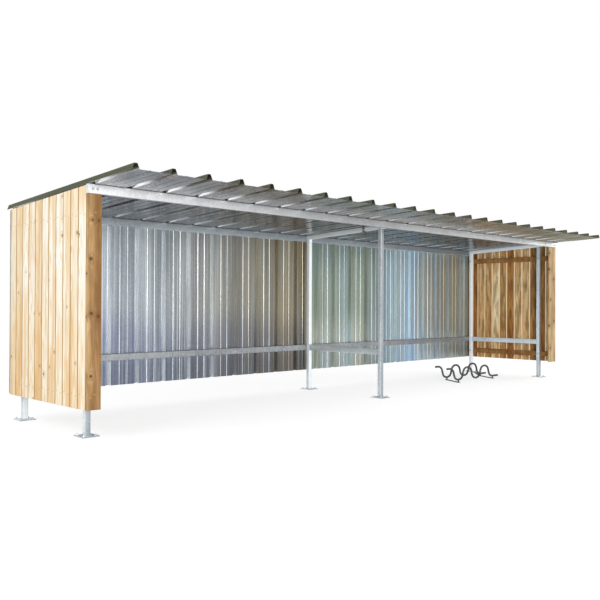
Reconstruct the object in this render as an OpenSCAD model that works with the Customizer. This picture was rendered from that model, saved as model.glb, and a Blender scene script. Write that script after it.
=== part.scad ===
// Open-fronted bike shelter in two bays: galvanised tube frames, trapezoidal sheet roof and
// back wall, boarded end walls with front returns, and a wave rack in the right bay.
// Units are millimetres, +Z up, front towards -Y, origin at the middle of the footprint.

/* [Frames] */
// Distance between neighbouring frames, centre to centre
bay = 3765; // [3000:5:4500]
// Distance from front post to rear post, centre to centre
depth = 1200; // [1000:5:1600]
// Width of the square post tube
post_w = 50; // [40:1:80]
// Wall of the post, rafter and beam tubes
tube_t = 3; // [2:0.5:5]
// Height of the underside of the front beam
front_clear = 1975; // [1850:5:2300]

/* [Beams and rails] */
// Height of the front and rear beams
beam_h = 76; // [60:1:120]
// Depth of the beams and of the rear rail
beam_d = 40; // [30:1:60]
// Distance from the front post centre to the back of the front beam
front_reach = 192; // [150:1:320]
// Height of the rafter tube
rafter_h = 50; // [40:1:70]
// Height of the low rails
rail_h = 70; // [50:1:100]
// Underside of the low rails above the ground
rail_z = 505; // [450:5:700]
// Width of the side rails
rail_w = 40; // [30:1:50]
// Place of the strap on the middle rafter, behind the front post centre
strap_y = 250; // [150:5:500]

/* [Roof] */
// Fall of the roof towards the back wall
roof_slope = 2.6; // [1:0.1:6]
// Length of roof in front of the front beam
roof_front = 663; // [400:1:800]
// Length of roof behind the back wall
roof_rear = 30; // [10:1:80]
// Roof edge past the face of the end boards
roof_side = 3; // [0:1:30]
// Height of the sheet ribs
rib_h = 45; // [30:1:60]
// Width of a rib at its foot
rib_base = 60; // [50:1:90]
// Width of a rib at its crest
rib_top = 26; // [16:1:40]
// Extra width of the pan where the two roof halves meet
mid_extra = 42; // [20:1:80]
// Sheet thickness
sheet_t = 1.2; // [0.8:0.1:2]

/* [Back wall] */
// Lower edge of the back wall above the ground
wall_bottom = 247; // [180:1:350]

/* [End walls] */
// Boards in each end wall
boards = 11; // [8:1:14]
// Thickness of the boards
board_t = 22; // [18:1:28]
// Open joint between boards
board_gap = 8; // [4:1:15]
// Lower edge of the boards above the ground
board_bottom = 242; // [180:1:350]
// Width of the left front return board
return_w = 129; // [100:1:200]
// Width of the right front return board
return_right_w = 195; // [100:1:260]
// Side of the square timber battens
batten = 70; // [45:1:90]
// Underside of the upper battens
batten_high = 1780; // [1650:5:1850]
// Underside of the lower battens
batten_low = 320; // [280:5:420]

/* [Feet] */
// Side of the base plates
plate_w = 160; // [130:5:220]
// Thickness of the base plates
plate_t = 8; // [6:1:15]
// Anchor hole diameter
hole_d = 12; // [9:1:18]
// Anchor hole spacing
hole_gap = 110; // [90:5:160]

/* [Rack] */
// Diameter of the two rack bars
rack_d = 28; // [20:1:40]
// Height of the upper bends above the ground
rack_h = 220; // [160:5:400]
// Underside of the lower bends above the ground
rack_low = 28; // [20:1:60]
// Distance between the front and rear bars, centre to centre
rack_reach = 320; // [250:5:500]
// Distance from one upper bend to the next
rack_pitch = 445; // [300:5:600]
// Sideways offset of the rear bar
rack_shift = 180; // [100:5:300]
// Distance of the rack's middle line behind the front post centre
rack_y = 504; // [350:2:700]
// Distance from the right post centre to the front bar's last lower bend
rack_side = 750; // [600:5:1200]
// Straight length before a bar's first bend
rack_head = 55; // [20:5:120]
// Straight length after a bar's last bend
rack_tail = 140; // [40:5:200]
// Width of the flat foot bars
foot_w = 40; // [30:1:60]
// Diameter of the stubs that carry the bars
stub_d = 20; // [14:1:26]

/* [Hidden] */
// Distance under the roof sheets kept free above boards and wall
top_gap = 6;
// Open joint between sheets at the lap
lap_gap = 1.2;
// Air between the end boards and the back wall sheets
wall_gap = 2;
// Ribs in one half of the roof
half_ribs = 12;
// Ribs on one sheet
sheet_ribs = 3;
// Height, foot and crest of the small stiffening folds in the pans
fold_h = 3;
fold_base = 18;
fold_top = 8;
// Half waves of a rack bar, points on its ring and steps along a half wave
half_waves = 5;
ring_n = 12;
step_n = 11;
// Roundness of the rack's bends, 0 for a plain wave
bend_k = 0.325;
// Air between the rack bars and their stubs
foot_gap = 0.2;

inner_x = bay + post_w / 2 + batten;
outer_x = inner_x + board_t;
roof_x = outer_x + roof_side;
pitch = (roof_x - rib_base / 2 - mid_extra / 2) / (half_ribs - 0.5);

beam_back = -front_reach;
beam_front = beam_back - beam_d;
rear_face = depth + post_w / 2;
wall_face = rear_face + beam_d;
wall_back = wall_face + rib_h + sheet_t;
roof_back = (wall_back + roof_rear - beam_front) / cos(roof_slope);
box_front = beam_front - roof_front * cos(roof_slope);
box_rear = beam_front + roof_back * cos(roof_slope) + (rib_h + sheet_t) * sin(roof_slope);
yf = -(box_front + box_rear) / 2;

beam_top = front_clear + beam_h;
function roof_z(y) = beam_top - tan(roof_slope) * (y - beam_front);
function rafter_z(y) = roof_z(y) - rafter_h / cos(roof_slope);
wall_top = roof_z(wall_back) - top_gap;
board_y0 = beam_back;
board_y1 = wall_face - wall_gap;
board_w = (board_y1 - board_y0 - (boards - 1) * board_gap) / boards;

rib_k = sheet_t * tan(atan(2 * rib_h / (rib_base - rib_top)) / 2);
fold_k = sheet_t * tan(atan(2 * fold_h / (fold_base - fold_top)) / 2);
pan_w = pitch - rib_base;

steel = [0.68, 0.70, 0.72];
sheet = [0.62, 0.65, 0.66];
green = [0.25, 0.29, 0.20];
pine = [0.80, 0.66, 0.44];
dark = [0.24, 0.25, 0.26];

// A profile given as [y, z] pairs, drawn out along X and placed from the front posts
module along_x(x0, x1, pts) {
  translate([x0, yf, 0])
    rotate([90, 0, 90])
      linear_extrude(x1 - x0)
        polygon(pts);
}

// A box from its corners, y measured from the front post centre
module block(x0, x1, y0, y1, z0, z1) {
  translate([x0, yf + y0, z0])
    cube([x1 - x0, y1 - y0, z1 - z0]);
}

// Base plate with four anchor holes
module plate(x, y) {
  color(steel)
    translate([x, yf + y, 0])
      difference() {
        translate([-plate_w / 2, -plate_w / 2, 0])
          cube([plate_w, plate_w, plate_t]);
        for (i = [-1, 1]) {
          for (j = [-1, 1]) {
            translate([i * hole_gap / 2, j * hole_gap / 2, -1])
              cylinder(h = plate_t + 2, d = hole_d, $fn = 32);
          }
        }
      }
}

// Square tube post, cut at the top to the rafter's fall
module post(x, y) {
  a = post_w / 2;
  b = a - tube_t;
  color(steel)
    difference() {
      along_x(x - a, x + a, [
        [y - a, plate_t], [y + a, plate_t], [y + a, rafter_z(y + a)], [y - a, rafter_z(y - a)]]);
      block(x - b, x + b, y - b, y + b, plate_t - 1, beam_top);
    }
}

// Beam tube with its top folded to the roof's fall
module beam(y0, y1, half) {
  z0 = roof_z(y0) - beam_h;
  t = tube_t;
  color(steel)
    difference() {
      along_x(-half, half, [[y0, z0], [y1, z0], [y1, roof_z(y1)], [y0, roof_z(y0)]]);
      along_x(-half - 1, half + 1, [
        [y0 + t, z0 + t], [y1 - t, z0 + t], [y1 - t, roof_z(y1 - t) - t], [y0 + t, roof_z(y0 + t) - t]]);
    }
}

// Rafter tube between the two beams
module rafter(x) {
  a = post_w / 2;
  b = a - tube_t;
  y0 = beam_back;
  y1 = rear_face;
  t = tube_t / cos(roof_slope);
  color(steel)
    difference() {
      along_x(x - a, x + a, [[y0, rafter_z(y0)], [y1, rafter_z(y1)], [y1, roof_z(y1)], [y0, roof_z(y0)]]);
      along_x(x - b, x + b, [
        [y0 - 1, rafter_z(y0 - 1) + t], [y1 + 1, rafter_z(y1 + 1) + t],
        [y1 + 1, roof_z(y1 + 1) - t], [y0 - 1, roof_z(y0 - 1) - t]]);
    }
}

// Strap folded round three sides of the middle rafter
module strap() {
  a = post_w / 2;
  t = 4;
  y0 = strap_y - 15;
  y1 = strap_y + 15;
  color(dark)
    difference() {
      along_x(-a - t, a + t, [
        [y0, rafter_z(y0) - t], [y1, rafter_z(y1) - t],
        [y1, roof_z(y1) - top_gap], [y0, roof_z(y0) - top_gap]]);
      along_x(-a, a, [
        [y0 - 1, rafter_z(y0 - 1)], [y1 + 1, rafter_z(y1 + 1)], [y1 + 1, beam_top], [y0 - 1, beam_top]]);
    }
}

// Low rail tube along the back, outside the rear posts
module long_rail() {
  t = tube_t;
  h = bay + post_w / 2;
  color(steel)
    difference() {
      block(-h, h, rear_face, wall_face, rail_z, rail_z + rail_h);
      block(-h - 1, h + 1, rear_face + t, wall_face - t, rail_z + t, rail_z + rail_h - t);
    }
}

// Low rail tube from front post to rear post
module cross_rail(x) {
  t = tube_t;
  a = rail_w / 2;
  y0 = post_w / 2;
  y1 = depth - post_w / 2;
  color(steel)
    difference() {
      block(x - a, x + a, y0, y1, rail_z, rail_z + rail_h);
      block(x - a + t, x + a - t, y0 - 1, y1 + 1, rail_z + t, rail_z + rail_h - t);
    }
}

// Outline of one rib or fold; d is 0 on the inner face and 1 on the outer face
function hump(c, w, crest, h, k, d) = [
  [c - w / 2 - d * k, d * sheet_t], [c - crest / 2 - d * k, h + d * sheet_t],
  [c + crest / 2 + d * k, h + d * sheet_t], [c + w / 2 + d * k, d * sheet_t]];
function rib_at(i) = rib_base / 2 + i * pitch;
function fold_at(i, m) = rib_base + i * pitch + m * pan_w / 3;
function sheet_end(j) = (j < 3)
  ? sheet_ribs * pitch - lap_gap
  : roof_x - 3 * sheet_ribs * pitch - lap_gap / 4;
function folds(i, j, d) = [
  for (m = [1, 2]) if (fold_at(i, m) + fold_base < sheet_end(j))
    for (p = hump(fold_at(i, m), fold_base, fold_top, fold_h, fold_k, d)) p];
function face_line(j, d) = concat(
  [for (i = [0 : sheet_ribs - 1])
    for (p = concat(hump(rib_at(i), rib_base, rib_top, rib_h, rib_k, d), folds(i, j, d))) p],
  [[sheet_end(j), d * sheet_t]]);
function turned(list) = [for (i = [len(list) - 1 : -1 : 0]) list[i]];

// Sheet outline, j counted from the outer edge, side -1 for the left half
function sheet_line(j, side) = [
  for (p = concat(face_line(j, 0), turned(face_line(j, 1))))
    [side * (roof_x - j * sheet_ribs * pitch - p[0]), p[1]]];

// Number n runs from 1 at the left to 8 at the right
function sheet_j(n) = (n <= 4) ? n - 1 : 8 - n;
function sheet_side(n) = (n <= 4) ? -1 : 1;

module roof_sheet(n) {
  color(green)
    translate([0, yf + beam_front, beam_top])
      rotate([-roof_slope, 0, 0])
        translate([0, roof_back, 0])
          rotate([90, 0, 0])
            linear_extrude(roof_front + roof_back)
              polygon(sheet_line(sheet_j(n), sheet_side(n)));
}

module wall_sheet(n) {
  color(sheet)
    translate([0, yf + wall_face, wall_bottom])
      linear_extrude(wall_top - wall_bottom)
        polygon(sheet_line(sheet_j(n), sheet_side(n)));
}

// Upright boards of one end wall, tops cut to the roof's fall
module cladding(side) {
  x0 = (side < 0) ? -outer_x : inner_x;
  color(pine)
    for (i = [0 : boards - 1]) {
      y0 = board_y0 + i * (board_w + board_gap);
      y1 = y0 + board_w;
      along_x(x0, x0 + board_t, [
        [y0, board_bottom], [y1, board_bottom], [y1, roof_z(y1) - top_gap], [y0, roof_z(y0) - top_gap]]);
    }
}

// Upper and lower timber battens between the posts and the boards
module battens(side) {
  x0 = (side < 0) ? -inner_x : inner_x - batten;
  color(pine)
    for (z = [batten_low, batten_high]) {
      block(x0, x0 + batten, board_y0, board_y1, z, z + batten);
    }
}

// Front return board under the end of the front beam
module front_return(side) {
  w = (side < 0) ? return_w : return_right_w;
  x0 = (side < 0) ? -outer_x : outer_x - w;
  color(pine)
    block(x0, x0 + w, beam_back - board_t, beam_back, board_bottom, front_clear);
}

// Bars of the rack, each a wave from an upper bend at the left to a lower bend at the right
rack_r = rack_d / 2;
rack_mid = (rack_low + rack_h) / 2;
rack_b = rack_h - rack_r - rack_mid;
function low_bend(rear, i) = [
  bay - rack_side - (2 - i) * rack_pitch + rear * rack_shift, rack_y + (rear - 0.5) * rack_reach];
function bar_x(q) = rack_pitch * ((q - 180 * half_waves) / 360 + bend_k * sin(2 * q) / (2 * PI));
function bar_p(rear, q, run) = [
  low_bend(rear, 2)[0] + bar_x(q) + run, yf + low_bend(rear, 2)[1], rack_mid + rack_b * cos(q)];
function bar_t(q) = [rack_pitch * (1 + 2 * bend_k * cos(2 * q)) / (2 * PI), 0, -rack_b * sin(q)];
function bar_ring(rear, q, run) = let (t = bar_t(q) / norm(bar_t(q)))
  [for (k = [0 : ring_n - 1]) bar_p(rear, q, run)
    + rack_r * (cos(360 * k / ring_n) * [0, -1, 0] + sin(360 * k / ring_n) * [-t[2], 0, t[0]])];

module rack_bar(rear) {
  rings = concat(
    [bar_ring(rear, 0, -rack_head)],
    [for (i = [0 : half_waves * step_n]) bar_ring(rear, 180 * i / step_n, 0)],
    [bar_ring(rear, 180 * half_waves, rack_tail)]);
  last = len(rings) - 1;
  pts = [for (r = rings) for (p = r) p];
  sides = [for (i = [0 : last - 1]) for (k = [0 : ring_n - 1]) for (h = [0, 1])
    let (m = (k + 1) % ring_n)
    (h == 0) ? [i * ring_n + k, i * ring_n + m, (i + 1) * ring_n + k]
      : [i * ring_n + m, (i + 1) * ring_n + m, (i + 1) * ring_n + k]];
  caps = [[for (k = [ring_n - 1 : -1 : 0]) k], [for (k = [0 : ring_n - 1]) last * ring_n + k]];
  color(dark)
    polyhedron(points = pts, faces = concat(sides, caps));
}

// Flat bar on the ground from its outline, y measured from the front post centre
module foot_bar(pts) {
  translate([0, yf, 0])
    linear_extrude(plate_t)
      polygon(pts);
}

// Stub from a foot bar up to a lower bend
module foot_stub(p) {
  translate([p[0], yf + p[1], plate_t / 2])
    cylinder(h = rack_low - foot_gap - plate_t / 2, d = stub_d, $fn = 24);
}

// Feet from bar to bar under the first and last lower bends, the last tied to the rear base plate
foot_h = foot_w / 2;
function unit(v) = v / norm(v);
function left_of(v) = [-v[1], v[0]];
foot_run = unit(low_bend(1, 0) - low_bend(0, 0));
foot_side = foot_h * left_of(foot_run);
tie_end = [bay - plate_w / 2 + foot_w, depth - plate_w / 2];
tie_run = unit(tie_end - low_bend(1, 2));
tie_cut = [foot_h / tie_run[1], 0];
tie_bend = foot_h * (left_of(foot_run) + left_of(tie_run)) / (1 + foot_run * tie_run);
module rack_feet() {
  a = low_bend(0, 0) - foot_h * foot_run;
  b = low_bend(1, 0) + foot_h * foot_run;
  c = low_bend(0, 2) - foot_h * foot_run;
  d = low_bend(1, 2);
  color(dark) {
    foot_bar([a - foot_side, b - foot_side, b + foot_side, a + foot_side]);
    foot_bar([
      c - foot_side, d - tie_bend, tie_end + tie_cut, tie_end - tie_cut, d + tie_bend, c + foot_side]);
    for (i = [0, 2]) {
      foot_stub(low_bend(0, i));
      foot_stub(low_bend(1, i));
    }
  }
}

module plate_front_left() { plate(-bay, 0); }
module plate_front_middle() { plate(0, 0); }
module plate_front_right() { plate(bay, 0); }
module plate_rear_left() { plate(-bay, depth); }
module plate_rear_middle() { plate(0, depth); }
module plate_rear_right() { plate(bay, depth); }
module post_front_left() { post(-bay, 0); }
module post_front_middle() { post(0, 0); }
module post_front_right() { post(bay, 0); }
module post_rear_left() { post(-bay, depth); }
module post_rear_middle() { post(0, depth); }
module post_rear_right() { post(bay, depth); }
module front_beam() { beam(beam_front, beam_back, outer_x); }
module rear_beam() { beam(rear_face, wall_face, inner_x - 1); }
module rafter_left() { rafter(-bay); }
module rafter_middle() { rafter(0); }
module rafter_right() { rafter(bay); }
module rafter_strap() { strap(); }
module rear_rail() { long_rail(); }
module side_rail_left() { cross_rail(-bay); }
module side_rail_middle() { cross_rail(0); }
module side_rail_right() { cross_rail(bay); }
module cladding_left() { cladding(-1); }
module cladding_right() { cladding(1); }
module battens_left() { battens(-1); }
module battens_right() { battens(1); }
module return_left() { front_return(-1); }
module return_right() { front_return(1); }
module rack_front_bar() { rack_bar(0); }
module rack_rear_bar() { rack_bar(1); }

plate_front_left();
plate_front_middle();
plate_front_right();
plate_rear_left();
plate_rear_middle();
plate_rear_right();
post_front_left();
post_front_middle();
post_front_right();
post_rear_left();
post_rear_middle();
post_rear_right();
front_beam();
rear_beam();
rafter_left();
rafter_middle();
rafter_right();
rafter_strap();
rear_rail();
side_rail_left();
side_rail_middle();
side_rail_right();
roof_sheet(1);  // roof_sheet_1
roof_sheet(2);  // roof_sheet_2
roof_sheet(3);  // roof_sheet_3
roof_sheet(4);  // roof_sheet_4
roof_sheet(5);  // roof_sheet_5
roof_sheet(6);  // roof_sheet_6
roof_sheet(7);  // roof_sheet_7
roof_sheet(8);  // roof_sheet_8
wall_sheet(1);  // wall_sheet_1
wall_sheet(2);  // wall_sheet_2
wall_sheet(3);  // wall_sheet_3
wall_sheet(4);  // wall_sheet_4
wall_sheet(5);  // wall_sheet_5
wall_sheet(6);  // wall_sheet_6
wall_sheet(7);  // wall_sheet_7
wall_sheet(8);  // wall_sheet_8
cladding_left();
cladding_right();
battens_left();
battens_right();
return_left();
return_right();
rack_front_bar();
rack_rear_bar();
rack_feet();
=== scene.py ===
import math

import bmesh
import bpy
from mathutils import Matrix, Vector


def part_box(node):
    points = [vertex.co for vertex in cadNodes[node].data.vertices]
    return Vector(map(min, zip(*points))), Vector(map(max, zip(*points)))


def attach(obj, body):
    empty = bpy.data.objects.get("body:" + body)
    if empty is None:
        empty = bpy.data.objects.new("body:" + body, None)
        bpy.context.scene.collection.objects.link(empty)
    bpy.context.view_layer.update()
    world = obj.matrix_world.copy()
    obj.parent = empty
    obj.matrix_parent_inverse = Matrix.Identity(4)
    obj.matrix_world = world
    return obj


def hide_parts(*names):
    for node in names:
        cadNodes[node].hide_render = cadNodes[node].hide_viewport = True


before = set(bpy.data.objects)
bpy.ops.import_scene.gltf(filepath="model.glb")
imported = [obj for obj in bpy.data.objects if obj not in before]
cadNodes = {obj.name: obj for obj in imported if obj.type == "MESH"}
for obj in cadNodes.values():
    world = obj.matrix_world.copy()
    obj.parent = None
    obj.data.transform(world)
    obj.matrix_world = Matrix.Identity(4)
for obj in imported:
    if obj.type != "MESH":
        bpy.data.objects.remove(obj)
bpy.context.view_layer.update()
scene = bpy.context.scene
print("frame loaded:", len(cadNodes), "nodes")

# where the main parts are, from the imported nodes
rows = ("front", "rear")
sides = ("left", "middle", "right")
wholeLength = 7.8
pitch = math.radians(2.6)
fall = math.tan(pitch)
rafterDeep = 0.05 / math.cos(pitch)
beamLow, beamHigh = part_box("front_beam")
rearLow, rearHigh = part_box("rear_beam")
railLow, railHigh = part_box("rear_rail")
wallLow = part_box("wall_sheet_1")[0]
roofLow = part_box("roof_sheet_1")[0]
claddingLow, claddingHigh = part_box("cladding_right")


def roofZ(y):  # underside of the roof sheets
    return beamHigh.z - fall * (y - beamLow.y)


def rafterZ(y):  # underside of the rafters
    return roofZ(y) - rafterDeep


class Wire:  # a node socket that can stand in a sum
    def __init__(self, desk, socket):
        self.desk = desk
        self.socket = socket

    def calc(self, operation, *values):
        return self.desk.add("ShaderNodeMath", {"operation": operation}, dict(enumerate(values)))

    def other(self, name):  # another output of the same node
        return Wire(self.desk, self.socket.node.outputs[name])

    def __add__(self, value):
        return self.calc("ADD", self, value)

    def __radd__(self, value):
        return self.calc("ADD", value, self)

    def __sub__(self, value):
        return self.calc("SUBTRACT", self, value)

    def __rsub__(self, value):
        return self.calc("SUBTRACT", value, self)

    def __mul__(self, value):
        return self.calc("MULTIPLY", self, value)

    def __rmul__(self, value):
        return self.calc("MULTIPLY", value, self)

    def __truediv__(self, value):
        return self.calc("DIVIDE", self, value)

    def __rtruediv__(self, value):
        return self.calc("DIVIDE", value, self)

    def __gt__(self, value):
        return self.calc("GREATER_THAN", self, value)

    def __lt__(self, value):
        return self.calc("LESS_THAN", self, value)

    def __abs__(self):
        return self.calc("ABSOLUTE", self)


class Desk:  # a node tree that is being wired up
    def __init__(self, tree):
        self.tree = tree
        tree.nodes.clear()

    def add(self, kind, settings=None, values=None, out=0):
        node = self.tree.nodes.new(kind)
        for key, value in (settings or {}).items():
            if key == "stops":
                ramp = node.color_ramp
                ramp.elements[0].position, ramp.elements[0].color = value[0]
                ramp.elements[1].position, ramp.elements[1].color = value[-1]
                for place, colour in value[1:-1]:
                    ramp.elements.new(place).color = colour
            else:
                setattr(node, key, value)
        for key, value in (values or {}).items():
            socket = node.inputs[key]
            if isinstance(value, Wire):
                self.tree.links.new(value.socket, socket)
            else:
                socket.default_value = value
        return Wire(self, node.outputs[out]) if len(node.outputs) else None

    def ease(self, value, low, high):  # 0 at low, 1 at high
        return self.add("ShaderNodeMapRange", {"interpolation_type": "SMOOTHSTEP"},
                        {"Value": value, "From Min": low, "From Max": high})

    def tint(self, amount, first, second, how="MIX"):
        return self.add("ShaderNodeMix", {"data_type": "RGBA", "blend_type": how},
                        {0: amount, 6: first, 7: second}, 2)

    def times(self, colour, other):
        return self.tint(1.0, colour, other, "MULTIPLY")

    def vector(self, operation, first, second):
        return self.add("ShaderNodeVectorMath", {"operation": operation}, {0: first, 1: second})

    def cloud(self, place, size, detail=3.0, rough=0.55):
        return self.add("ShaderNodeTexNoise", {},
                        {"Vector": place, "Scale": size, "Detail": detail, "Roughness": rough})

    def grain(self, place, stretch, detail, size=1.0):  # noise drawn out along an axis
        return self.cloud(self.vector("MULTIPLY", place, stretch), size, detail)

    def split(self, vector):
        x = self.add("ShaderNodeSeparateXYZ", {}, {"Vector": vector})
        return x, x.other("Y"), x.other("Z")

    def joined(self, x, y, z):
        return self.add("ShaderNodeCombineXYZ", {}, {"X": x, "Y": y, "Z": z})


def startFinish(name):
    material = bpy.data.materials.new(name)
    material.use_nodes = True
    desk = Desk(material.node_tree)
    place = desk.add("ShaderNodeTexCoord", {}, {}, "Object")
    facing = desk.add("ShaderNodeNewGeometry", {}, {}, "Normal")
    return material, desk, place, facing


def endFinish(desk, values, height, lift):
    values["Normal"] = desk.add("ShaderNodeBump", {}, {"Strength": 0.6, "Distance": lift, "Height": height})
    shader = desk.add("ShaderNodeBsdfPrincipled", {}, values)
    desk.add("ShaderNodeOutputMaterial", {}, {"Surface": shader})


def spangles(desk, place, size):  # zinc crystals, each with its own shade
    cells = desk.add("ShaderNodeTexVoronoi", {}, {"Vector": place, "Scale": 1 / size}, "Color")
    return desk.split(cells)[0]


def dimmed(colour, amount):
    return tuple(part * amount for part in colour[:3]) + (1.0,)


def greys(stops):
    return [(place, (value, value, value, 1)) for place, value in stops]


# galvanised tubes; along is how light they are from left to right, painted light and shade such as the front
# beam's lighter left end; front is painted shade, duller zinc on faces turned to the front; the pale zinc of
# the rear posts and rafters is a white, lit copy of the zinc, painted light
tubeZinc = {
    "frameZinc": {"dull": (0.62, 0.69, 0.72, 1), "bright": (0.84, 0.90, 0.92, 1), "metal": 0.7,
                  "front": (0.46, 0.47, 0.49, 1), "roughLow": 0.36, "roughHigh": 0.58},
    "beamZinc": {"dull": (0.74, 0.76, 0.78, 1), "bright": (0.97, 0.98, 0.99, 1), "metal": 0.6,
                 "along": [(0.0, 0.88), (0.4, 0.42), (1.0, 0.66)], "roughLow": 0.34, "roughHigh": 0.56},
    "sunlitZinc": {"dull": (0.86, 0.93, 0.97, 1), "bright": (0.91, 0.97, 0.99, 1), "metal": 0.1,
                 "along": [(0.0, 0.86), (0.5, 1.0)], "roughLow": 0.4, "roughHigh": 0.6},
    "railZinc": {"dull": (0.235, 0.248, 0.262, 1), "bright": (0.40, 0.418, 0.44, 1), "metal": 0.7,
                 "roughLow": 0.4, "roughHigh": 0.6}}
tubeGrain = {"spangle": 0.011, "cloudy": 2.6, "runs": (34, 34, 2.2), "bump": 0.0005}


def makeTubeZinc(name, look):
    material, desk, place, facing = startFinish(name)
    flake = spangles(desk, place, tubeGrain["spangle"])
    cloudy = desk.cloud(place, tubeGrain["cloudy"], 5)
    runs = desk.grain(place, tubeGrain["runs"], 3)
    shade = desk.ease(cloudy * 0.55 + runs * 0.25 + flake * 0.2, 0.3, 0.7)
    colour = desk.tint(shade, look["dull"], look["bright"])
    # painted light and shade along the tube from left to right
    if "along" in look:
        spot = desk.split(place)[0] / wholeLength + 0.5
        light = desk.add("ShaderNodeValToRGB", {"stops": greys(look["along"])}, {"Fac": spot}, "Color")
        colour = desk.times(colour, light)
    # painted shade: faces turned to the front are duller
    if "front" in look:
        weatherAndShade = desk.ease(desk.split(facing)[1], -0.4, -0.8)
        colour = desk.tint(weatherAndShade, colour, desk.times(colour, look["front"]))
    rough = look["roughLow"] + (look["roughHigh"] - look["roughLow"]) * (1 - shade)
    endFinish(desk, {"Base Color": colour, "Metallic": look["metal"], "Roughness": rough},
              flake * 0.3 + runs * 0.7, tubeGrain["bump"])
    return material


# bare zinc sheet of the back wall, painted reflections in broad zones from left to right, painted highlights
# on the bends
wallZinc = {
    "cool": (0.37, 0.41, 0.445, 1), "dull": (0.295, 0.32, 0.33, 1), "brown": (0.26, 0.235, 0.175, 1),
    "green": (0.27, 0.325, 0.295, 1), "sky": (0.53, 0.69, 0.83, 1), "grey": (0.44, 0.48, 0.455, 1),
    "zones": ((0.16, "cool"), (0.26, "dull"), (0.46, "brown"), (0.507, "brown"), (0.52, "green"),
              (0.68, "green"), (0.77, "sky"), (0.96, "grey")),
    "shadedLow": (0.68, 0.69, 0.82, 1), "litLow": (1.38, 1.28, 1.34, 1), "even": (0.95, 0.95, 0.97, 1),
    "foot": (0.70, 0.72, 0.74, 1), "outside": (0.40, 0.42, 0.435, 1), "bend": (0.90, 0.93, 0.95, 1),
    "far": (1.6, 1.6, 1.6, 1), "warm": (1.12, 1.0, 0.78, 1), "cold": (0.88, 1.0, 1.18, 1),
    "dark": (0.63, 0.63, 0.64, 1), "light": (1.33, 1.33, 1.32, 1),
    "spangle": 0.014, "drift": (0.9, 0.9, 0.35), "broad": (5.5, 5.5, 0.5), "cast": (9, 9, 0.4),
    "streak": (22, 22, 0.3), "hair": (90, 90, 0.5), "bump": 0.0003,
    "metal": 0.85, "roughLow": 0.28, "roughHigh": 0.42, "roughBend": 0.12}


def makeWallZinc(look):
    material, desk, place, facing = startFinish("wallZinc")
    x, y, z = desk.split(place)
    nx, ny, nz = desk.split(facing)
    flake = spangles(desk, place, look["spangle"])
    drift = desk.grain(place, look["drift"], 2) - 0.5
    broad = desk.grain(place, look["broad"], 2)
    streak = desk.grain(place, look["streak"], 3)
    hair = desk.grain(place, look["hair"], 2)
    near = desk.ease(x, -0.6, -2.4)  # 1 at the left end
    bend = desk.ease(abs(nx), 0.25, 0.75)
    # tones along the wall are painted reflections, changed on the lower half (darker and bluer in the left
    # bay as painted shade, lighter by the middle post as painted light), the outer face (plain zinc) and the
    # foot (painted shade)
    zones = [(spot, look[name]) for spot, name in look["zones"]]
    along = x / wholeLength + 0.5 + drift * 0.03
    zincAndReflection = desk.add("ShaderNodeValToRGB", {"stops": zones}, {"Fac": along}, "Color")
    low = desk.tint(desk.ease(x, -0.05, 0.05), look["shadedLow"], look["litLow"])
    low = desk.tint(desk.ease(x, 1.1, 1.6), low, look["even"])
    zincAndReflection = desk.tint(desk.ease(z + drift * 0.5, 1.15, 0.65), zincAndReflection, desk.times(zincAndReflection, low))
    zincAndReflection = desk.tint(desk.ease(ny, -0.1, 0.1) * 0.75, zincAndReflection, look["outside"])
    # painted shade at the foot of the wall, deeper in the left bay
    shadow = desk.ease(z, 0.58, 0.42) * (0.45 + 0.55 * desk.ease(x, 0.5, -0.1))
    zincAndReflection = desk.tint(shadow, zincAndReflection, desk.times(zincAndReflection, look["foot"]))
    cast = desk.ease(desk.grain(place, look["cast"], 2), 0.42, 0.58)
    cast = desk.tint(cast, look["warm"], look["cold"])
    zincAndReflection = desk.tint((1 - near) * 0.4, zincAndReflection, desk.times(zincAndReflection, cast))
    # streaks down the sheet, stronger at the left end; the bends, fine glints and the rib sides on the far
    # half are lighter as painted highlights
    shade = desk.ease(broad * 0.3 + streak * 0.38 + hair * 0.26 + flake * 0.06, 0.34, 0.66)
    shade = (shade - 0.5) * (0.7 + 0.3 * near) + 0.5
    colour = desk.tint(shade, desk.times(zincAndReflection, look["dark"]), desk.times(zincAndReflection, look["light"]))
    glint = desk.ease(hair, 0.57, 0.68) * (0.1 + 0.3 * near)
    colour = desk.tint(bend * near * (0.6 + 0.4 * shade) + glint, colour, look["bend"])
    lit = bend * (1 - near) * desk.ease(x, 3.2, 1.2)
    colour = desk.tint(lit, colour, desk.times(colour, look["far"]))
    rough = look["roughLow"] + (look["roughHigh"] - look["roughLow"]) * (1 - shade)
    rough = rough + look["roughBend"] * bend
    endFinish(desk, {"Base Color": colour, "Metallic": look["metal"], "Roughness": rough},
              streak, look["bump"])
    return material


# roof sheet: olive coat on the weather side, zinc below; the zinc's warm, green and blue tints are painted
# reflections, its darker inside, rib hollows and beam lines painted shade, its light webs by the beams
# painted highlights
roofCoat = {
    "coat": (0.055, 0.062, 0.032, 1), "faded": (0.10, 0.106, 0.062, 1), "insideShade": (0.61, 0.595, 0.60, 1),
    "zinc": (0.225, 0.23, 0.24, 1), "zincLight": (0.40, 0.405, 0.41, 1), "bend": (0.93, 0.94, 0.95, 1),
    "warm": (0.165, 0.13, 0.07, 1), "green": (0.135, 0.13, 0.045, 1), "blue": (0.14, 0.17, 0.215, 1),
    "rib": (0.10, 0.10, 0.075, 1), "beamShadow": (0.05, 0.05, 0.05, 1), "front": (-0.78, -1.02),
    "beams": ((beamLow.y, -0.86, -0.56), (rearLow.y, 0.45, 0.9)),
    "weatherAndShade": (3.0, 0.7, 3.0), "streak": (26, 0.6, 26), "grit": 130, "spangle": 0.014, "bump": 0.0005}


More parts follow.
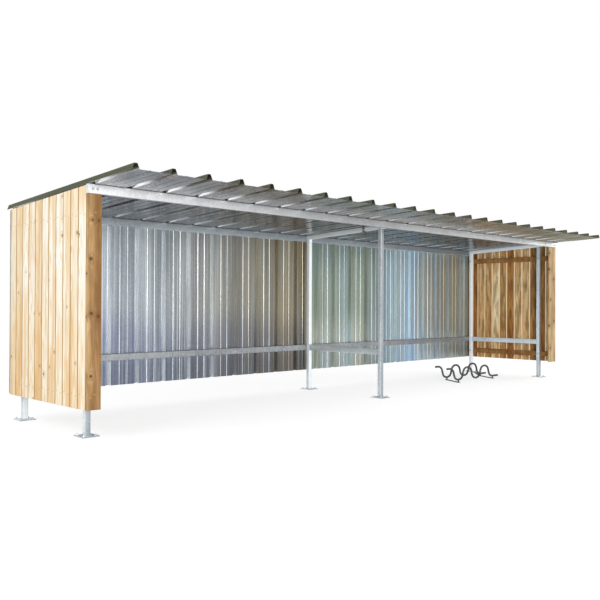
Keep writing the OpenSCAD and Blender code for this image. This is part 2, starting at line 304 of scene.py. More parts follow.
def makeRoofCoat(look):
    material, desk, place, facing = startFinish("roofCoat")
    x, y, z = desk.split(place)
    nx, ny, nz = desk.split(facing)
    top = desk.ease(nz, -0.12, 0.12)
    weatherAndShade = desk.grain(place, look["weatherAndShade"], 5)
    grit = desk.cloud(place, look["grit"], 2)
    coat = desk.tint(desk.ease(weatherAndShade * 0.75 + grit * 0.25, 0.35, 0.7), look["coat"], look["faded"])
    flake = spangles(desk, place, look["spangle"])
    streak = desk.grain(place, look["streak"], 3)
    shade = desk.ease(streak * 0.75 + flake * 0.25, 0.3, 0.7)
    zinc = desk.tint(shade, look["zinc"], look["zincLight"])
    drift = x + (weatherAndShade - 0.5) * 2.4
    outer = desk.ease(y, -0.40, -0.46)  # in front of the front beam
    # painted reflection: warm and green tints under the overhang, a blue tint inside, in broad zones from
    # left to right
    for name, start, end, share in (("warm", -2.6, 1.4, outer), ("green", 2.0, 3.3, outer),
                                    ("blue", -0.4, 0.8, 1 - outer)):
        patch = desk.tint(shade * 0.45, look[name], look["zincLight"])
        zinc = desk.tint(desk.ease(drift, start, end) * share * 0.9, zinc, patch)
    # painted shade: the underside inside the shelter is darker
    zinc = desk.tint(1 - outer, zinc, desk.times(zinc, look["insideShade"]))
    # painted shade: the hollows of the ribs near the front edge are dark
    lift = desk.ease(z - beamHigh.z + (y - beamLow.y) * fall, 0.006, 0.02)
    zinc = desk.tint(lift * desk.ease(y, *look["front"]), zinc, look["rib"])
    # painted highlight on the rib webs in front of each beam
    web = desk.ease(abs(nx), 0.3, 0.8)
    for edge, start, end in look["beams"]:
        zinc = desk.tint(web * desk.ease(y, start, end) * (y < edge), zinc, look["bend"])
        # painted shadow: a dark line along each beam's front edge
        zinc = desk.tint(desk.ease(abs(y - edge), 0.022, 0.004) * 0.85, zinc, look["beamShadow"])
    film = desk.ease(drift, 0.6, 3.2) * outer * (1 - top)
    rough = 0.18 + 0.1 * (1 - shade) + 0.3 * film + top * (0.36 + 0.1 * weatherAndShade)
    endFinish(desk, {"Base Color": desk.tint(top, zinc, coat), "Roughness": rough,
                     "Metallic": (0.85 - 0.6 * film) * (1 - top), "Specular IOR Level": 0.25},
              grit * 0.2 + streak * 0.8, look["bump"])
    return material


# sawn pine; plane gives the two axes the knots lie in
upright = {"ring": (9, 9, 0.6), "fibre": (240, 240, 5)}
lying = {"ring": (9, 0.6, 9), "fibre": (240, 5, 240)}
timberBlotch = ((0.78, 0.74, 0.68, 1), (1.12, 1.12, 1.12, 1))
pineLook = {
    "boardPine": {
        "pale": (0.97, 0.915, 0.765, 1), "late": (0.83, 0.565, 0.28, 1), "knot": (0.33, 0.17, 0.07, 1),
        "dark": (0.90, 0.75, 0.55, 1), "inLight": (0.86, 0.75, 0.56, 1), "inDark": (0.43, 0.26, 0.115, 1),
        "litEdgeIn": (0.98, 0.88, 0.60, 1), "shadedEdgeOut": (0.50, 0.29, 0.09, 1), "litHigher": (1.0, 1.075, 1.2, 1),
        "blotch": ((0.62, 0.58, 0.5, 1), (1.22, 1.22, 1.22, 1)), "faces": (claddingLow.x, claddingHigh.x),
        "whorl": (8.0, 1.4), "loose": 0.8, "few": 0.55, "round": 0.013, "plane": (1, 2), **upright},
    "leftReturn": {
        "pale": (0.52, 0.36, 0.19, 1), "late": (0.37, 0.215, 0.08, 1), "knot": (0.10, 0.035, 0.01, 1),
        "dark": (0.80, 0.72, 0.62, 1), "blotch": timberBlotch, "sweep": (-3.868, -3.80, (0.70, 0.61, 0.5, 1)),
        "whorl": (19.0, 2.3), "loose": 0.4, "few": 0.2, "round": 0.019, "plane": (0, 2), **upright},
    "rightReturn": {
        "pale": (0.62, 0.46, 0.265, 1), "late": (0.38, 0.25, 0.115, 1), "knot": (0.12, 0.06, 0.02, 1),
        "dark": (0.80, 0.72, 0.62, 1), "blotch": timberBlotch,
        "whorl": (10.0, 2.6), "loose": 0.6, "few": 0.3, "round": 0.028, "plane": (0, 2), **upright},
    "battenPine": {
        "pale": (0.36, 0.19, 0.06, 1), "late": (0.26, 0.12, 0.035, 1), "knot": (0.10, 0.05, 0.02, 1),
        "dark": (0.82, 0.76, 0.68, 1), "blotch": timberBlotch,
        "whorl": (3.0, 9.0), "loose": 0.7, "few": 0.4, "round": 0.014, "plane": (1, 2), **lying}}


def makePine(name, look):
    material, desk, place, facing = startFinish(name)
    x, y, z = desk.split(place)
    nx, ny, nz = desk.split(facing)
    tone = desk.add("ShaderNodeAttribute", {"attribute_name": "boardTone"}, {}, "Fac")
    own = desk.vector("ADD", place, desk.joined(tone * 13.7, tone * 7.1, tone * 23.9))
    # knots, one to a cell, in some of the cells
    first, second = (desk.split(own)[axis] for axis in look["plane"])
    flat = desk.joined(first * look["whorl"][0], second * look["whorl"][1], 0.0)
    cell = desk.add("ShaderNodeTexVoronoi", {"voronoi_dimensions": "2D"}, {
        "Vector": flat, "Scale": 1.0, "Randomness": look["loose"]}, "Color")
    chance, share, other = desk.split(cell)
    apart = desk.vector("SUBTRACT", flat, cell.other("Position"))
    apart = desk.vector("DIVIDE", apart, look["whorl"] + (1.0,))
    gap = desk.add("ShaderNodeVectorMath", {"operation": "LENGTH"}, {0: apart}, 1)
    keep = chance > look["few"]
    reach = gap / (look["round"] * (0.6 + 0.6 * share)) + (other - 0.5) * 0.2
    knot = desk.ease(reach, 1.0, 0.5) * keep
    halo = desk.ease(reach, 3.4, 0.6) * keep
    # year rings and fibres, the rings bent round the knots
    slow = (desk.grain(own, look["ring"], 2) + halo * 0.07) * 95.0
    rings = slow.calc("SINE", slow) * 0.5 + 0.5
    fibre = desk.grain(own, look["fibre"], 3)
    stain = desk.grain(own, look["ring"], 2, 1.7)
    late = desk.ease(rings, 0.3, 1.0) * 0.6 + (fibre - 0.5) * 0.7
    colour = desk.tint(late, look["pale"], look["late"])
    colour = desk.tint(desk.ease(stain, 0.45, 0.62) * 0.75, colour, look["late"])
    colour = desk.tint(halo * 0.45, colour, dimmed(look["late"], 0.75))
    colour = desk.tint(tone, desk.times(colour, look["dark"]), colour)
    blotch = desk.ease(desk.grain(own, (20, 20, 3.5), 3), 0.36, 0.64)
    darker, lighter = look["blotch"]
    if "faces" in look:  # end wall boards: lighter higher up as painted light, inner faces darker as painted shade with some unbleached wood, board edges pale inside and dark outside as painted light and shade in the gaps
        # painted light: boards lighter and paler higher up
        colour = desk.tint(desk.ease(z, 0.6, 1.4), colour, desk.times(colour, look["litHigher"]))
        # painted shade, with some unbleached wood: inner faces darker and browner
        agedAndShaded = desk.tint(tone, look["inDark"], look["inLight"])
        agedAndShaded = desk.tint(blotch, desk.times(agedAndShaded, darker), desk.times(agedAndShaded, lighter))
        outward = nx * x.calc("SIGN", x)
        colour = desk.tint(desk.ease(outward, 0.3, -0.3), colour, desk.times(colour, agedAndShaded))
        # painted light and shade in the gaps: board edges pale towards the inside, dark towards the outside
        low, high = look["faces"]
        deep = high - low
        edge = desk.ease(abs(x), low + 0.4 * deep, low + 0.6 * deep)
        edge = desk.tint(edge, look["litEdgeIn"], look["shadedEdgeOut"])
        colour = desk.tint(desk.ease(abs(ny), 0.3, 0.6), colour, edge)
    else:
        colour = desk.tint(blotch, desk.times(colour, darker), desk.times(colour, lighter))
    # painted shade: the left return darker towards its inner side
    if "sweep" in look:
        start, end, shaded = look["sweep"]
        colour = desk.tint(desk.ease(x, start, end), colour, desk.times(colour, shaded))
    colour = desk.tint(knot * 0.9, colour, look["knot"])
    endFinish(desk, {"Base Color": colour, "Roughness": 0.62 + 0.2 * fibre, "Specular IOR Level": 0.3},
              fibre * 0.5 + rings * 0.3 + knot * 0.4, 0.0012)
    return material


# dark painted bar of the rack and strap
darkBar = {"paint": (0.055, 0.06, 0.065, 1), "worn": (0.17, 0.175, 0.18, 1)}


def makeDarkBar(look):
    material, desk, place, facing = startFinish("darkBar")
    patch = desk.cloud(place, 9, 5, 0.65)
    speck = desk.cloud(place, 160, 2)
    worn = desk.ease(patch * 0.7 + speck * 0.3, 0.46, 0.68)
    endFinish(desk, {"Base Color": desk.tint(worn, look["paint"], look["worn"]),
                     "Metallic": 0.35 + 0.3 * worn, "Roughness": 0.58 - 0.18 * worn}, speck, 0.0004)
    return material


# plated screws, bolts and weld beads
fixingLook = {"fixingZinc": {"dull": (0.34, 0.35, 0.36, 1), "bright": (0.66, 0.67, 0.68, 1)},
              "screwYellow": {"dull": (0.42, 0.27, 0.10, 1), "bright": (0.62, 0.43, 0.18, 1)}}


def makeFixing(name, look):
    material, desk, place, facing = startFinish(name)
    speck = desk.cloud(place, 240, 3)
    endFinish(desk, {"Base Color": desk.tint(desk.ease(speck, 0.3, 0.7), look["dull"], look["bright"]),
                     "Metallic": 0.85, "Roughness": 0.35 + 0.25 * speck}, speck, 0.0002)
    return material


tubeFinish = {name: makeTubeZinc(name, look) for name, look in tubeZinc.items()}
wallFinish = makeWallZinc(wallZinc)
roofFinish = makeRoofCoat(roofCoat)
pineFinish = {name: makePine(name, look) for name, look in pineLook.items()}
barFinish = makeDarkBar(darkBar)
fixingFinish = {name: makeFixing(name, look) for name, look in fixingLook.items()}
print("finishes made")


def setOut(name, mesh, slotName, *replaced):
    piece = bpy.data.objects.new(name, mesh)
    scene.collection.objects.link(piece)
    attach(piece, "root")
    if replaced:
        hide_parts(*replaced)


def startTree(name, inputs):
    tree = bpy.data.node_groups.new(name, "GeometryNodeTree")
    tree.interface.new_socket("Geometry", in_out="INPUT", socket_type="NodeSocketGeometry")
    tree.interface.new_socket("Geometry", in_out="OUTPUT", socket_type="NodeSocketGeometry")
    for label, kind in inputs.items():
        tree.interface.new_socket(label, in_out="INPUT", socket_type="NodeSocket" + kind)
    tree.interface.new_socket("Finish", in_out="INPUT", socket_type="NodeSocketMaterial")
    desk = Desk(tree)
    entry = desk.add("NodeGroupInput")
    return tree, desk, {label: entry.other(label) for label in ["Geometry", "Finish", *inputs]}


def endTree(desk, shape, finish):
    whole = desk.add("GeometryNodeRealizeInstances", {}, {"Geometry": shape})
    painted = desk.add("GeometryNodeSetMaterial", {}, {"Geometry": whole, "Material": finish})
    desk.add("NodeGroupOutput", {}, {0: painted})


def grown(tree, values, source=None, edge=0.0):  # runs a tree and gives back a plain mesh
    seed = bpy.data.objects.new("seed", source or bpy.data.meshes.new("seed"))
    scene.collection.objects.link(seed)
    grow = seed.modifiers.new("grow", "NODES")
    grow.node_group = tree
    for item in tree.interface.items_tree:
        if item.in_out == "INPUT" and item.name in values:
            grow[item.identifier] = values[item.name]
    if edge:
        ease = seed.modifiers.new("ease", "BEVEL")
        ease.width, ease.segments, ease.limit_method = edge, 2, "ANGLE"
        ease.angle_limit = math.radians(40)
    graph = bpy.context.evaluated_depsgraph_get()
    mesh = bpy.data.meshes.new_from_object(seed.evaluated_get(graph), preserve_all_data_layers=True,
                                           depsgraph=graph)
    bpy.data.objects.remove(seed)
    return mesh


# tubes with rounded corners; axis is the one the tube runs along
tubeEdge = {"radius": 0.005, "steps": 3, "sharp": 40}


def prism(name, low, high, outline, axis, finish, replaced):
    mesh = bpy.data.meshes.new(name)
    form = bmesh.new()
    ends = [[form.verts.new((x, y, z)) for y, z in outline] for x in (low, high)]
    form.faces.new(ends[0][::-1])
    form.faces.new(ends[1])
    count = len(outline)
    for i in range(count):
        j = (i + 1) % count
        form.faces.new((ends[0][i], ends[0][j], ends[1][j], ends[1][i]))
    bmesh.ops.recalc_face_normals(form, faces=form.faces)
    form.edges.ensure_lookup_table()
    run = [e for e in form.edges if abs((e.verts[0].co - e.verts[1].co).normalized()[axis]) > 0.95]
    bmesh.ops.bevel(form, geom=run, offset=tubeEdge["radius"], segments=tubeEdge["steps"], profile=0.5,
                    affect="EDGES")
    for face in form.faces:
        face.smooth = True
    form.to_mesh(mesh)
    form.free()
    mesh.set_sharp_from_angle(angle=math.radians(tubeEdge["sharp"]))
    mesh.materials.append(tubeFinish[finish])
    setOut(name, mesh, "galvanised", replaced)


# the rear posts and the rafters take the lit pale zinc: painted light
for row, finish in zip(rows, ("frameZinc", "sunlitZinc")):
    for side in sides:
        node = f"post_{row}_{side}"
        low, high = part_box(node)
        outline = [(low.y, low.z), (high.y, low.z), (high.y, rafterZ(high.y)), (low.y, rafterZ(low.y))]
        prism(f"{row}Post.{side}", low.x, high.x, outline, 2, finish, node)
for side in sides:
    node = f"rafter_{side}"
    low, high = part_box(node)
    outline = [(low.y, rafterZ(low.y)), (high.y, rafterZ(high.y)),
               (high.y, roofZ(high.y)), (low.y, roofZ(low.y))]
    prism(f"rafter.{side}", low.x, high.x, outline, 1, "sunlitZinc", node)
    node = f"side_rail_{side}"
    low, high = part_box(node)
    outline = [(low.y, low.z), (high.y, low.z), (high.y, high.z), (low.y, high.z)]
    prism(f"sideRail.{side}", low.x, high.x, outline, 1, "frameZinc", node)
for name, node, finish, slope in (("frontBeam", "front_beam", "beamZinc", fall),
                                  ("rearBeam", "rear_beam", "frameZinc", fall),
                                  ("rearRail", "rear_rail", "railZinc", 0.0)):
    low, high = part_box(node)
    drop = slope * (high.y - low.y)
    outline = [(low.y, low.z), (high.y, low.z), (high.y, high.z - drop), (low.y, high.z)]
    prism(name, low.x, high.x, outline, 0, finish, node)
print("frame tubes made")


# end walls of upright boards, tones from front to rear; on the right the dark second board stands in for the
# shade in front of the front post, painted shade
endWall = {"count": 11, "gap": 0.008, "wane": 0.003, "thick": 0.022, "topGap": 0.006, "jog": 0.0011,
           "turn": 0.006, "edge": 0.0025, "seed": 4,
           "left": (0.9, 0.4, 0.8, 1.0, 0.7, 0.9, 0.2, 0.8, 0.9, 0.1, 0.4),
           "right": (1.0, 0.0, 0.1, 0.5, 0.6, 0.0, 0.3, 0.9, 0.4, 0.5, 0.0)}


def makeBoardTree():
    tree, desk, take = startTree("uprightBoards", {
        "Width": "Float", "Thickness": "Float", "Front": "Float", "Bottom": "Float", "Top": "Float",
        "Fall": "Float", "Jog": "Float", "Turn": "Float", "Seed": "Int"})
    board = desk.add("GeometryNodeMeshCube", {}, {
        "Size": desk.joined(take["Thickness"], take["Width"], 1.0), "Vertices Z": 7})
    turn = desk.add("FunctionNodeRandomValue", {}, {
        2: take["Turn"] * -1, 3: take["Turn"], 8: take["Seed"]}, 1)
    row = desk.add("GeometryNodeInstanceOnPoints", {}, {
        "Points": take["Geometry"], "Instance": board, "Rotation": desk.joined(0.0, 0.0, turn)})
    row = desk.add("GeometryNodeRealizeInstances", {}, {"Geometry": row})
    x, y, z = desk.split(desk.add("GeometryNodeInputPosition"))
    sway = desk.cloud(desk.joined(x, y * 6.0, z * 1.7), 1.0, 1) - 0.5
    tall = take["Top"] - take["Fall"] * (y - take["Front"]) - take["Bottom"]
    height = take["Bottom"] + (z + 0.5) * tall
    row = desk.add("GeometryNodeSetPosition", {}, {
        "Geometry": row, "Position": desk.joined(x + sway * 2.0 * take["Jog"], y, height)})
    endTree(desk, row, take["Finish"])
    return tree


def boardLines(low, high):  # width of a board, and the middle line of each
    count, gap = endWall["count"], endWall["gap"]
    width = (high.y - low.y - (count - 1) * gap) / count
    return width, [low.y + width / 2 + i * (width + gap) for i in range(count)]


boardTree = makeBoardTree()
for side in ("left", "right"):
    low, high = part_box(f"cladding_{side}")
    width, middles = boardLines(low, high)
    points = bpy.data.meshes.new("boardPlaces")
    points.from_pydata([((low.x + high.x) / 2, middle, 0.0) for middle in middles], [], [])
    tones = points.attributes.new("boardTone", "FLOAT", "POINT")
    for i, tone in enumerate(endWall[side]):
        tones.data[i].value = tone
    mesh = grown(boardTree, {
        "Width": width - endWall["wane"], "Thickness": endWall["thick"] - 2 * endWall["jog"],
        "Front": low.y, "Bottom": low.z, "Top": roofZ(low.y) - endWall["topGap"], "Fall": fall,
        "Jog": endWall["jog"], "Turn": endWall["turn"], "Seed": endWall["seed"],
        "Finish": pineFinish["boardPine"]}, points, endWall["edge"])
    setOut(f"endBoards.{side}", mesh, "pine", f"cladding_{side}")
print("end walls boarded")


# battens and front returns, eased timbers
timber = {"radius": 0.003, "steps": 2, "battenTones": (0.35, 0.7), "returnTone": 0.6}


def timbers(name, blocks, tones, finish, replaced):
    mesh = bpy.data.meshes.new(name)
    form = bmesh.new()
    layer = form.verts.layers.float.new("boardTone")
    for (low, high), tone in zip(blocks, tones):
        made = bmesh.ops.create_cube(form, size=1.0)["verts"]
        for vert in made:
            vert.co = Vector([low[i] + (vert.co[i] + 0.5) * (high[i] - low[i]) for i in range(3)])
        edges = list({edge for vert in made for edge in vert.link_edges})
        cut = bmesh.ops.bevel(form, geom=edges, offset=timber["radius"], segments=timber["steps"],
                              profile=0.5, affect="EDGES")
        for vert in {vert for face in cut["faces"] for vert in face.verts}:
            vert[layer] = tone
    form.to_mesh(mesh)
    form.free()
    mesh.materials.append(pineFinish[finish])
    setOut(name, mesh, "pine", replaced)


for side in ("left", "right"):
    low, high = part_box(f"battens_{side}")
    deep = high.x - low.x
    pair = [(Vector((low.x, low.y, z)), Vector((high.x, high.y, z + deep))) for z in (low.z, high.z - deep)]
    timbers(f"battens.{side}", pair, timber["battenTones"], "battenPine", f"battens_{side}")
    timbers(f"frontReturn.{side}", [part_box(f"return_{side}")], (timber["returnTone"],), f"{side}Return",
            f"return_{side}")
print("timbers made")


# two wave bars of the wheel rack
wave = {"pitch": 0.445, "halfWaves": 5, "round": 0.325, "head": 0.055, "tail": 0.140, "radius": 0.014,
        "steps": 143, "sides": 14}


def makeWaveTree():
    tree, desk, take = startTree("rackWave", {
        "Steps": "Int", "Angle": "Float", "Start": "Vector", "Pitch": "Float", "Round": "Float",
        "Tall": "Float", "Head": "Float", "Tail": "Float", "Radius": "Float", "Sides": "Int"})
    line = desk.add("GeometryNodeMeshLine", {}, {"Count": take["Steps"]})
    index = desk.add("GeometryNodeInputIndex")
    share = (index - 1.0) / (take["Steps"] - 3.0)
    share = share.calc("MINIMUM", share.calc("MAXIMUM", share, 0.0), 1.0)
    turn = share * take["Angle"]
    run = (turn + take["Round"] * turn.calc("SINE", turn * 2.0)) / (2 * math.pi) * take["Pitch"]
    ends = (index > take["Steps"] - 1.5) * take["Tail"] - (index < 0.5) * take["Head"]
    offset = desk.joined(run + ends, 0.0, turn.calc("COSINE", turn) * take["Tall"])
    line = desk.add("GeometryNodeSetPosition", {}, {
        "Geometry": line, "Position": desk.vector("ADD", take["Start"], offset)})
    path = desk.add("GeometryNodeMeshToCurve", {}, {"Mesh": line})
    ring = desk.add("GeometryNodeCurvePrimitiveCircle", {}, {
        "Resolution": take["Sides"], "Radius": take["Radius"]})
    bar = desk.add("GeometryNodeCurveToMesh", {}, {"Curve": path, "Profile Curve": ring, "Fill Caps": True})
    bar = desk.add("GeometryNodeSetShadeSmooth", {}, {"Geometry": bar})
    endTree(desk, bar, take["Finish"])
    return tree


waveTree = makeWaveTree()
for row in rows:
    low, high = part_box(f"rack_{row}_bar")
    middle = (low + high) / 2
    mesh = grown(waveTree, {
        "Steps": wave["steps"], "Angle": wave["halfWaves"] * math.pi,
        "Start": (low.x + wave["head"], middle.y, middle.z), "Pitch": wave["pitch"], "Round": wave["round"],
        "Tall": (high.z - low.z) / 2 - wave["radius"], "Head": wave["head"], "Tail": wave["tail"],
        "Radius": wave["radius"], "Sides": wave["sides"], "Finish": barFinish})
    setOut(f"rackBar.{row}", mesh, "dark_steel", f"rack_{row}_bar")
print("rack bars made")


# screws, bolts and nuts: a washer and a head on every point
fixings = {
    "sheetScrew": {"Head": 0.0062, "Head Height": 0.005, "Sides": 6,
                   "Washer": 0.0095, "Washer Height": 0.002},
    "boardScrew": {"Head": 0.0038, "Head Height": 0.0006, "Sides": 8,
                   "Washer": 0.0052, "Washer Height": 0.0006},
    "beamBolt": {"Head": 0.0105, "Head Height": 0.007, "Sides": 6,
                 "Washer": 0.0135, "Washer Height": 0.002},
    "anchorNut": {"Head": 0.0105, "Head Height": 0.009, "Sides": 6,
                  "Washer": 0.0135, "Washer Height": 0.0025},
    "anchorStud": {"Head": 0.005, "Head Height": 0.014, "Sides": 10,
                   "Washer": 0.0056, "Washer Height": 0.004}}


def makeFixingTree():
    tree, desk, take = startTree("fixings", {
        "Head": "Float", "Head Height": "Float", "Sides": "Int", "Washer": "Float", "Washer Height": "Float",
        "Seed": "Int"})
    washer = desk.add("GeometryNodeMeshCone", {}, {
        "Vertices": 12, "Radius Top": take["Washer"] * 0.92, "Radius Bottom": take["Washer"],
        "Depth": take["Washer Height"]})
    head = desk.add("GeometryNodeMeshCone", {}, {
        "Vertices": take["Sides"], "Radius Top": take["Head"] * 0.88, "Radius Bottom": take["Head"],
        "Depth": take["Head Height"]})
    head = desk.add("GeometryNodeTransform", {}, {
        "Geometry": head, "Translation": desk.joined(0.0, 0.0, take["Washer Height"])})
    both = desk.add("GeometryNodeJoinGeometry")
    for part in (washer, head):
        desk.tree.links.new(part.socket, both.socket.node.inputs[0])
    facing = desk.add("GeometryNodeInputNamedAttribute", {"data_type": "FLOAT_VECTOR"}, {"Name": "facing"})
    turned = desk.add("FunctionNodeAlignRotationToVector", {"axis": "Z"}, {"Vector": facing})
    spin = desk.add("FunctionNodeRandomValue", {}, {2: 0.0, 3: 1.05, 8: take["Seed"]}, 1)
    turned = desk.add("FunctionNodeRotateRotation", {"rotation_space": "LOCAL"}, {
        "Rotation": turned, "Rotate By": desk.joined(0.0, 0.0, spin)})
    heads = desk.add("GeometryNodeInstanceOnPoints", {}, {
        "Points": take["Geometry"], "Instance": both, "Rotation": turned})
    endTree(desk, heads, take["Finish"])
    return tree


fixingTree = makeFixingTree()


def fixed(name, kind, spots, slotName, seed, finish="fixingZinc"):
    mesh = bpy.data.meshes.new(name)
    mesh.from_pydata([place for place, facing in spots], [], [])
    layer = mesh.attributes.new("facing", "FLOAT_VECTOR", "POINT")
    for i, (place, facing) in enumerate(spots):
        layer.data[i].vector = facing
    values = dict(fixings[kind], Seed=seed, Finish=fixingFinish[finish])
    setOut(name, grown(fixingTree, values, mesh), slotName)


# rib centres, the same on the roof and the back wall, with a screw on each side
ribs = {"base": 0.060, "midExtra": 0.042, "half": 12, "screwIn": 0.071, "lastScrew": 3.8, "sheet": 0.0012}
ribStart = -roofLow.x - ribs["base"] / 2
ribPitch = (ribStart - ribs["midExtra"] / 2) / (ribs["half"] - 0.5)
ribCentres = [side * (ribStart - i * ribPitch) for side in (-1, 1) for i in range(ribs["half"])]
screwX = sorted({round(x + s * ribs["screwIn"], 4) for x in ribCentres for s in (-1, 1)
                 if abs(x + s * ribs["screwIn"]) < ribs["lastScrew"]})
up = Vector((0, fall, 1)).normalized()
roofSpots = []
for lineY in ((beamLow.y + beamHigh.y) / 2, (rearLow.y + rearHigh.y) / 2):
    roofSpots += [((x, lineY, roofZ(lineY) + ribs["sheet"]), up) for x in screwX]
fixed("roofScrews", "sheetScrew", roofSpots, "roof_sheet", 2)
wallFace = wallLow.y + ribs["sheet"]
wallSpots = []
for lineZ in ((rearLow.z + rearHigh.z) / 2, (railLow.z + railHigh.z) / 2):
    wallSpots += [((x, wallFace, lineZ), (0, 1, 0)) for x in screwX]
fixed("wallScrews", "sheetScrew", wallSpots, "wall_sheet", 8)

# two screws in every board at each batten; the frame's bolts and the anchors
screwing = {"spread": 0.034, "stagger": 0.008, "returnX": 3.825, "returnSpread": 0.018,
            "returnStagger": 0.012}
bolting = {"beamX": (3.842, 3.802), "beamZ": 2.012, "anchor": 0.055}
boardSpots = []
boltSpots = [((sign * x, beamLow.y, bolting["beamZ"]), (0, -1, 0))
             for sign in (-1, 1) for x in bolting["beamX"]]
for side, sign in (("left", -1), ("right", 1)):
    low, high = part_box(f"cladding_{side}")
    battenLow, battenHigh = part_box(f"battens_{side}")
    half = (battenHigh.x - battenLow.x) / 2
    heights = (battenLow.z + half, battenHigh.z - half)
    face = (high.x if sign > 0 else low.x) - sign * endWall["jog"]
    width, middles = boardLines(low, high)
    for middle in middles:
        for z in heights:
            for s in (-1, 1):
                spot = (face, middle + s * screwing["spread"], z + s * screwing["stagger"])
                boardSpots.append((spot, (sign, 0, 0)))
    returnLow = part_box(f"return_{side}")[0]
    middle = sign * screwing["returnX"]
    for z in heights:
        for s in (-1, 1):
            spot = (middle + s * screwing["returnSpread"], returnLow.y, z + s * screwing["returnStagger"])
            boardSpots.append((spot, (0, -1, 0)))
    for row in rows:
        postLow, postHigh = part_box(f"post_{row}_{side}")
        face = postHigh.x if sign < 0 else postLow.x
        boltSpots += [((face, (postLow.y + postHigh.y) / 2, z), (-sign, 0, 0)) for z in heights]
fixed("boardScrews", "boardScrew", boardSpots, "galvanised", 12, "screwYellow")

strapLow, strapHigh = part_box("rafter_strap")
strap = (strapLow + strapHigh) / 2
boltSpots += [((x, strap.y, strap.z), (s, 0, 0)) for x, s in ((strapLow.x, -1), (strapHigh.x, 1))]
fixed("frameBolts", "beamBolt", boltSpots, "galvanised", 17)

anchorSpots = []
for row in rows:
    for side in sides:
        low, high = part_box(f"plate_{row}_{side}")
        middle = (low + high) / 2
        out = bolting["anchor"]
        anchorSpots += [((middle.x + i * out, middle.y + j * out, high.z), (0, 0, 1))
                        for i in (-1, 1) for j in (-1, 1)]
fixed("anchorNuts", "anchorNut", anchorSpots, "galvanised", 21)
fixed("anchorStuds", "anchorStud", anchorSpots, "galvanised", 22)
print("fixings set:", len(roofSpots + wallSpots + boardSpots + boltSpots + 2 * anchorSpots))


# weld beads round the feet and the ends of the side rails
weld = {"Radius": 0.0042, "Step": 0.006, "Rough": 0.0016, "Sides": 7}


def makeWeldTree():
    tree, desk, take = startTree("weldBead", {
        "Radius": "Float", "Step": "Float", "Rough": "Float", "Sides": "Int"})
    path = desk.add("GeometryNodeMeshToCurve", {}, {"Mesh": take["Geometry"]})
    path = desk.add("GeometryNodeResampleCurve", {"mode": "LENGTH"}, {"Curve": path, "Length": take["Step"]})
    place = desk.add("GeometryNodeInputPosition")
    push = desk.add("ShaderNodeTexNoise", {}, {"Vector": place, "Scale": 70.0, "Detail": 1.0}, "Color")
    push = desk.vector("SUBTRACT", push, (0.5, 0.5, 0.5))
    reach = desk.joined(take["Rough"], take["Rough"], take["Rough"])
    path = desk.add("GeometryNodeSetPosition", {}, {
        "Geometry": path, "Offset": desk.vector("MULTIPLY", push, reach)})
    ring = desk.add("GeometryNodeCurvePrimitiveCircle", {}, {
        "Resolution": take["Sides"], "Radius": take["Radius"]})
    bead = desk.add("GeometryNodeCurveToMesh", {}, {"Curve": path, "Profile Curve": ring})
    bead = desk.add("GeometryNodeSetShadeSmooth", {}, {"Geometry": bead})
    endTree(desk, bead, take["Finish"])
    return tree


weldPoints, weldEdges = [], []


def weldLoop(corners):
    first = len(weldPoints)
    weldPoints.extend(corners)
    weldEdges.extend((first + i, first + (i + 1) % len(corners)) for i in range(len(corners)))


for row in rows:
    for side in sides:
        low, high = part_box(f"post_{row}_{side}")
        weldLoop([(low.x, low.y, low.z), (high.x, low.y, low.z),
                  (high.x, high.y, low.z), (low.x, high.y, low.z)])
for side in sides:
    low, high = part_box(f"side_rail_{side}")
    for y in (low.y, high.y):
        weldLoop([(low.x, y, low.z), (high.x, y, low.z), (high.x, y, high.z), (low.x, y, high.z)])
weldMesh = bpy.data.meshes.new("weldLines")
weldMesh.from_pydata(weldPoints, weldEdges, [])
weldMesh = grown(makeWeldTree(), dict(weld, Finish=fixingFinish["fixingZinc"]), weldMesh)
setOut("weldBeads", weldMesh, "galvanised")
print("welds laid")


# carried-over nodes get their finishes
def dress(prefix, finish):
    for name, node in cadNodes.items():
        if name.startswith(prefix):
            node.data.materials.clear()
            node.data.materials.append(finish)


dress("plate_", tubeFinish["frameZinc"])
dress("roof_sheet_", roofFinish)
dress("wall_sheet_", wallFinish)
dress("rafter_strap", barFinish)
dress("rack_feet", barFinish)
print("sheets and plates finished")


# floor, white to the camera and pale to the light
studio = {"floor": 40.0, "pale": (0.84, 0.84, 0.84, 1), "keep": (0.4, 0.4, 0.4, 1), "white": (1, 1, 1, 1),
          "glow": 0.74, "near": 4.5, "far": 9.0, "sky": 0.55}


def seenRays(desk):  # what the camera sees, in metal and glass too
    path = desk.add("ShaderNodeLightPath", {}, {}, "Is Camera Ray")
    seen = path.calc("MAXIMUM", path, path.other("Is Glossy Ray"))
    return seen.calc("MAXIMUM", seen, path.other("Is Transmission Ray"))


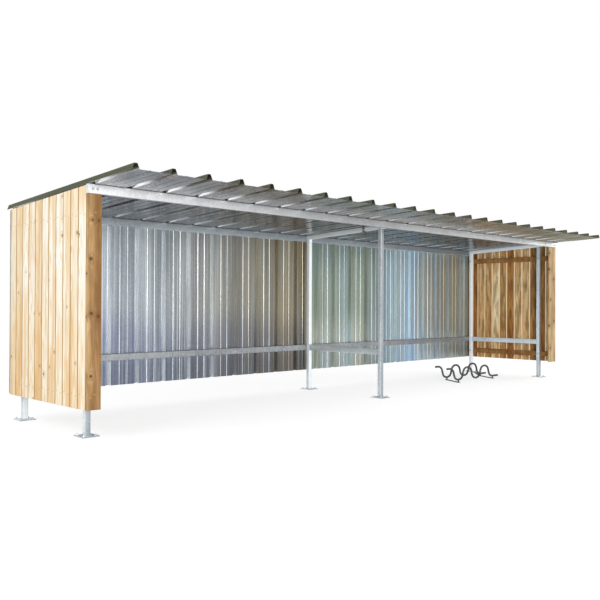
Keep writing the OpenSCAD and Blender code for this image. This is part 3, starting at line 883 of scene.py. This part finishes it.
def makeFloor(look):
    size = look["floor"]
    mesh = bpy.data.meshes.new("studioFloor")
    corners = [(-size, -size, 0), (size, -size, 0), (size, size, 0), (-size, size, 0)]
    mesh.from_pydata(corners, [], [(0, 1, 2, 3)])
    floor = bpy.data.objects.new("studioFloor", mesh)
    scene.collection.objects.link(floor)
    material, desk, place, facing = startFinish("studioFloor")
    reach = desk.add("ShaderNodeVectorMath", {"operation": "LENGTH"}, {0: place}, 1)
    away = desk.ease(reach, look["near"], look["far"])
    pale = desk.add("ShaderNodeBsdfDiffuse", {}, {"Color": look["pale"]})
    kept = desk.add("ShaderNodeBsdfDiffuse", {}, {"Color": look["keep"]})
    glow = desk.add("ShaderNodeEmission", {}, {"Color": look["white"], "Strength": look["glow"]})
    near = desk.add("ShaderNodeAddShader", {}, {0: kept, 1: glow})
    white = desk.add("ShaderNodeEmission", {}, {"Color": look["white"], "Strength": 1.0})
    shown = desk.add("ShaderNodeMixShader", {}, {0: away, 1: near, 2: white})
    both = desk.add("ShaderNodeMixShader", {}, {0: seenRays(desk), 1: pale, 2: shown})
    desk.add("ShaderNodeOutputMaterial", {}, {"Surface": both})
    mesh.materials.append(material)


def makeSky(look):
    world = bpy.data.worlds.new("studioSky")
    scene.world = world
    world.use_nodes = True
    desk = Desk(world.node_tree)
    strength = seenRays(desk) * (1.0 - look["sky"]) + look["sky"]
    sky = desk.add("ShaderNodeBackground", {}, {"Color": look["white"], "Strength": strength})
    desk.add("ShaderNodeOutputWorld", {}, {"Surface": sky})


makeFloor(studio)
makeSky(studio)

lamps = {"key": {"at": (-10.5, -1.0, 5.5), "to": (-3.8, 0.3, 1.0), "size": (5.0, 4.0), "power": 260},
         "fill": {"at": (-4.5, -9.5, 1.75), "to": (1.4, 0.4, 1.1), "size": (8.0, 3.2), "power": 640},
         "bay": {"at": (0.4, -3.4, 0.9), "to": (3.5, 0.5, 1.7), "size": (1.6, 1.0), "power": 52},
         "side": {"at": (10.5, -3.0, 4.0), "to": (3.9, 0.3, 1.1), "size": (4.0, 4.0), "power": 260}}
for name, look in lamps.items():
    lamp = bpy.data.lights.new(name, "AREA")
    lamp.shape = "RECTANGLE"
    lamp.size, lamp.size_y = look["size"]
    lamp.energy = look["power"]
    holder = bpy.data.objects.new(name, lamp)
    holder.location = look["at"]
    holder.rotation_euler = (Vector(look["to"]) - Vector(look["at"])).to_track_quat("-Z", "Y").to_euler()
    holder.visible_glossy = name != "bay"  # the small lamp in the bay leaves no glare
    scene.collection.objects.link(holder)

# camera where the picture was taken from, angles in degrees
shot = {"at": (-6.7223, -5.826, 1.0947), "lens": 44.198, "sensor": 36.0, "far": 200.0,
        "turn": 46.056, "up": 0.3514, "lean": 0.2281}
turn, rise, lean = (math.radians(shot[key]) for key in ("turn", "up", "lean"))
ahead = Vector((math.cos(turn), math.sin(turn), 0))
right = Vector((math.sin(turn), -math.cos(turn), 0))
top = Vector((0, 0, 1))
sight = math.cos(rise) * ahead + math.sin(rise) * top
raised = math.cos(rise) * top - math.sin(rise) * ahead
across = math.cos(lean) * right + math.sin(lean) * raised
upward = math.cos(lean) * raised - math.sin(lean) * right
cameraData = bpy.data.cameras.new("shot")
cameraData.lens = shot["lens"]
cameraData.sensor_width = shot["sensor"]
cameraData.clip_end = shot["far"]
camera = bpy.data.objects.new("shot", cameraData)
camera.matrix_world = Matrix((across, upward, -sight)).transposed().to_4x4()
camera.location = shot["at"]
scene.collection.objects.link(camera)
scene.camera = camera
scene.view_settings.view_transform = "Standard"
print("studio set")
